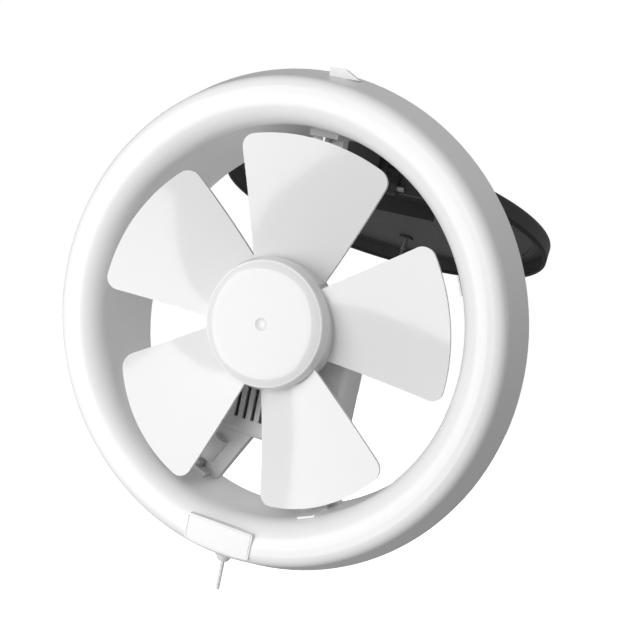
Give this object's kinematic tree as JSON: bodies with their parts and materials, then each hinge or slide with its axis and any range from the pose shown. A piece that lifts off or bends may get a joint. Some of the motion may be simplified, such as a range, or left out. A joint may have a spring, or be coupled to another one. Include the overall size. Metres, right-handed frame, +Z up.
{
  "type": "round window exhaust fan",
  "caption": "Round wall or window exhaust fan: bell-mouth ring, bladed impeller on a boxed motor, pull-cord switch and a top-hinged round shutter flap.",
  "frame": {"origin": "on the fan's axis, in the plane of the ring's back edge, which meets the wall", "axes": "+Y along the fan's axis from the room to the outside, +Z up, +X to the right of someone who faces the fan"},
  "size_m": [0.2662, 0.2594, 0.2842],
  "materials": {
    "white_housing": "moulded white plastic, satin gloss",
    "white_blade": "glossy white plastic",
    "label_grey": "bare satin plate",
    "grey_holder": "moulded pale grey plastic",
    "black_flap": "dark moulded plastic",
    "foam_rubber": "soft dark foam",
    "bright_steel": "plated steel",
    "motor_steel": "stacked steel sheet",
    "coil_copper": "varnished copper wire",
    "cord_white": "white twisted cord"
  },
  "bodies": {
    "housing": {"front_ring": "white_housing", "wall_sleeve": "white_housing", "wall_gasket": "foam_rubber", "label_plate": "label_grey", "sleeve_clips": "white_housing", "top_clip": "white_housing", "front_bearing": "bright_steel", "rear_bearing": "bright_steel", "stator_stack": "motor_steel", "stator_coil": "coil_copper", "motor_holder": "grey_holder", "motor_rear_cover": "grey_holder", "cover_screws": "bright_steel", "holder_screws": "bright_steel", "foot_washers": "bright_steel", "wire_cover": "grey_holder", "cable_gland": "foam_rubber", "terminal_block": "white_housing", "pull_switch": "black_flap", "switch_spring": "bright_steel", "cord_grommet": "white_housing", "flap_catch": "black_flap", "hinge_hood": "black_flap", "hinge_pin": "bright_steel", "stator_screws": "bright_steel", "hinge_brackets": "black_flap"},
    "fan_rotor": {"impeller": "white_blade", "hub_cap": "white_blade", "shaft_nut": "bright_steel", "motor_shaft": "bright_steel", "rotor_core": "motor_steel"},
    "pull": {"pull_cord": "cord_white", "switch_plunger": "white_housing"},
    "switch_step": {"switch_rotor": "white_housing"},
    "flap": {"flap_dish": "black_flap", "flap_seal": "foam_rubber", "striker_pin": "bright_steel"}
  },
  "joints": [
    {"name": "fan_spin", "type": "hinge", "parent": "housing", "child": "fan_rotor", "pos_m": [0, 0, 0], "axis": [0, 1, 0], "continuous": true},
    {"name": "flap_swing", "type": "hinge", "parent": "housing", "child": "flap", "pos_m": [0, 0.05293, 0.08239], "axis": [1, 0, 0], "range_deg": [-82, 0]},
    {"name": "cord_pull", "type": "slide", "parent": "housing", "child": "pull", "axis": [0, 0, -1], "range_m": [0, 0.005], "stiffness_N_per_m": 400, "deforming": ["switch_spring"]},
    {"name": "switch_turn", "type": "hinge", "parent": "housing", "child": "switch_step", "pos_m": [0, -0.008, 0], "axis": [0, 0, 1], "range_deg": [0, 30]}
  ],
  "couplings": [
    {"joint": "switch_turn", "follows": "cord_pull", "rad_per_m": 104.72}
  ]
}
